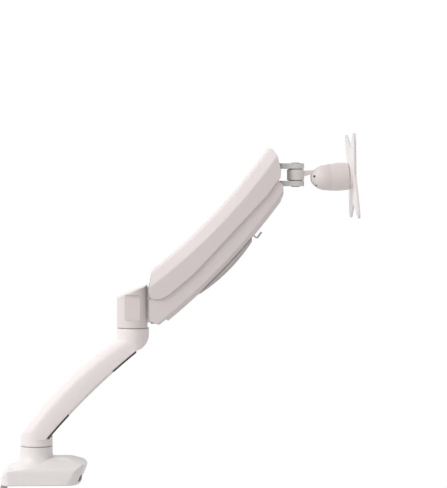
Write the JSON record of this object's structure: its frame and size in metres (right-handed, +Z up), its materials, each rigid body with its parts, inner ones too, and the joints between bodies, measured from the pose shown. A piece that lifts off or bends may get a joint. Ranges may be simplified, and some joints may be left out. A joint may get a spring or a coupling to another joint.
{
  "type": "monitor arm",
  "caption": "Desk clamp monitor arm with a curved swivelling lower arm, a gas spring parallel upper arm and a tilting, turning plate for a screen.",
  "frame": {"origin": "on the desk top under the base column's axis, at the bottom face of the base pad", "axes": "+X along the arm as pictured, from the base to the plate; +Z up; +Y away from the camera"},
  "size_m": [0.5055, 0.118, 0.6109],
  "materials": {
    "white_casting": "satin white coat on cast metal",
    "white_plastic": "satin white moulded plastic",
    "grey_casting": "pale grey coated casting",
    "pale_casting": "pale grey coat on a small casting",
    "grey_steel": "mid grey coat on steel",
    "grey_plastic": "matt grey plastic",
    "white_steel": "white coat on sheet steel",
    "dark_steel": "dark grey coat on steel",
    "plain_steel": "zinc plated steel",
    "black_plastic": "matt dark plastic",
    "black_rubber": "matt rubber"
  },
  "bodies": {
    "base": {"base_pad": "black_rubber", "base_plate": "grey_steel", "base_cover": "white_plastic", "base_slot_trim": "black_plastic", "base_spindle": "plain_steel", "spindle_bolt": "plain_steel", "base_ring": "grey_plastic", "clamp_jaw": "grey_steel", "clamp_jaw_screws": "plain_steel"},
    "clamp_foot": {"clamp_disc": "black_plastic", "clamp_pad": "black_rubber"},
    "clamp_screw": {"clamp_screw": "plain_steel", "clamp_knob": "black_plastic"},
    "lower_arm": {"lower_arm": "white_casting", "base_bush": "black_plastic", "base_grub_screw": "plain_steel", "lower_cable_cover": "white_plastic", "lower_cable_guide": "black_plastic", "upper_cable_guide": "black_plastic", "elbow_bush": "black_plastic", "elbow_ring": "grey_plastic"},
    "elbow": {"elbow_post": "white_casting", "elbow_cap": "white_plastic", "elbow_side_panels": "white_plastic", "elbow_spindle": "plain_steel", "elbow_retaining_washer": "plain_steel", "elbow_retaining_screw": "plain_steel", "elbow_bracket": "plain_steel", "elbow_bracket_screws": "plain_steel", "elbow_pins": "plain_steel"},
    "tension_screw": {"tension_screw": "plain_steel"},
    "tension_yoke": {"tension_yoke": "plain_steel", "trunnion_pin": "plain_steel"},
    "upper_link": {"upper_link": "grey_casting", "upper_link_bushes": "black_plastic", "top_cover": "white_plastic", "top_cover_screws": "plain_steel", "spring_anchor_pin": "plain_steel"},
    "lower_link": {"lower_link": "grey_casting", "lower_link_bushes": "black_plastic", "bottom_cover": "white_plastic", "bottom_cover_screws": "plain_steel", "arm_cable_duct": "white_plastic", "cable_hook": "white_plastic"},
    "gas_cylinder": {"gas_cylinder": "dark_steel"},
    "gas_rod": {"gas_rod": "plain_steel"},
    "wrist": {"wrist_fork": "grey_casting", "wrist_pins": "plain_steel", "swivel_pin": "plain_steel"},
    "swivel": {"swivel_knuckle": "pale_casting", "swivel_washers": "black_plastic"},
    "head": {"head_housing": "white_casting", "head_disc": "white_casting", "tilt_bolt": "plain_steel", "tilt_washers": "black_plastic", "rotation_washer": "white_plastic"},
    "plate": {"vesa_plate": "white_steel", "rotation_spindle": "plain_steel", "spindle_washer": "plain_steel", "spindle_nut": "plain_steel"}
  },
  "joints": [
    {"name": "base_swivel", "type": "hinge", "parent": "base", "child": "lower_arm", "pos_m": [0, 0, 0.0512], "axis": [0, 0, 1], "range_deg": [-180, 180]},
    {"name": "elbow_swivel", "type": "hinge", "parent": "lower_arm", "child": "elbow", "pos_m": [0.135, 0, 0.216], "axis": [0, 0, 1], "range_deg": [-180, 180]},
    {"name": "arm_pitch", "type": "hinge", "parent": "elbow", "child": "upper_link", "pos_m": [0.1715, 0, 0.2765], "axis": [0, -1, 0], "range_deg": [-82, 3]},
    {"name": "lower_link_pitch", "type": "hinge", "parent": "elbow", "child": "lower_link", "pos_m": [0.1715, 0, 0.2401], "axis": [0, -1, 0], "range_deg": [-83, 4]},
    {"name": "wrist_level", "type": "hinge", "parent": "upper_link", "child": "wrist", "pos_m": [0.32959, 0, 0.44603], "axis": [0, -1, 0], "range_deg": [-4, 83]},
    {"name": "gas_cylinder_pitch", "type": "hinge", "parent": "upper_link", "child": "gas_cylinder", "pos_m": [0.30888, 0, 0.41502], "axis": [0, -1, 0], "range_deg": [-0.2, 1.5]},
    {"name": "gas_rod_slide", "type": "slide", "parent": "gas_cylinder", "child": "gas_rod", "axis": [-0.6693, 0, -0.743], "range_m": [-0.0185, 0.0012]},
    {"name": "tension_turn", "type": "hinge", "parent": "elbow", "child": "tension_screw", "pos_m": [0.165, 0, 0.226], "axis": [0, 0, 1], "range_deg": [-1090, 1090]},
    {"name": "tension_slide", "type": "slide", "parent": "elbow", "child": "tension_yoke", "axis": [0, 0, 1], "range_m": [-0.003, 0.003]},
    {"name": "wrist_swivel", "type": "hinge", "parent": "wrist", "child": "swivel", "pos_m": [0.36319, 0, 0.42953], "axis": [0, 0, 1], "range_deg": [-90, 90]},
    {"name": "head_tilt", "type": "hinge", "parent": "swivel", "child": "head", "pos_m": [0.39939, 0, 0.42813], "axis": [0, -1, 0], "range_deg": [-35, 75]},
    {"name": "plate_rotate", "type": "hinge", "parent": "head", "child": "plate", "pos_m": [0.44488, 0, 0.42801], "axis": [0.9981, 0, 0.061], "range_deg": [-180, 180]},
    {"name": "clamp_travel", "type": "slide", "parent": "base", "child": "clamp_foot", "axis": [0, 0, 1], "range_m": [-0.022, 0.028]},
    {"name": "clamp_turn", "type": "hinge", "parent": "clamp_foot", "child": "clamp_screw", "pos_m": [0, 0, -0.1], "axis": [0, 0, 1], "range_deg": [-3970, 5050]}
  ],
  "couplings": [
    {"joint": "lower_link_pitch", "follows": "arm_pitch", "ratio": 1},
    {"joint": "wrist_level", "follows": "arm_pitch", "ratio": -1},
    {"joint": "gas_cylinder_pitch", "follows": "arm_pitch", "ratio": -0.0167},
    {"joint": "gas_rod_slide", "follows": "arm_pitch", "m_per_rad": 0.0124},
    {"joint": "tension_turn", "follows": "tension_slide", "rad_per_m": -6283.2},
    {"joint": "clamp_turn", "follows": "clamp_travel", "rad_per_m": 3141.6}
  ]
}
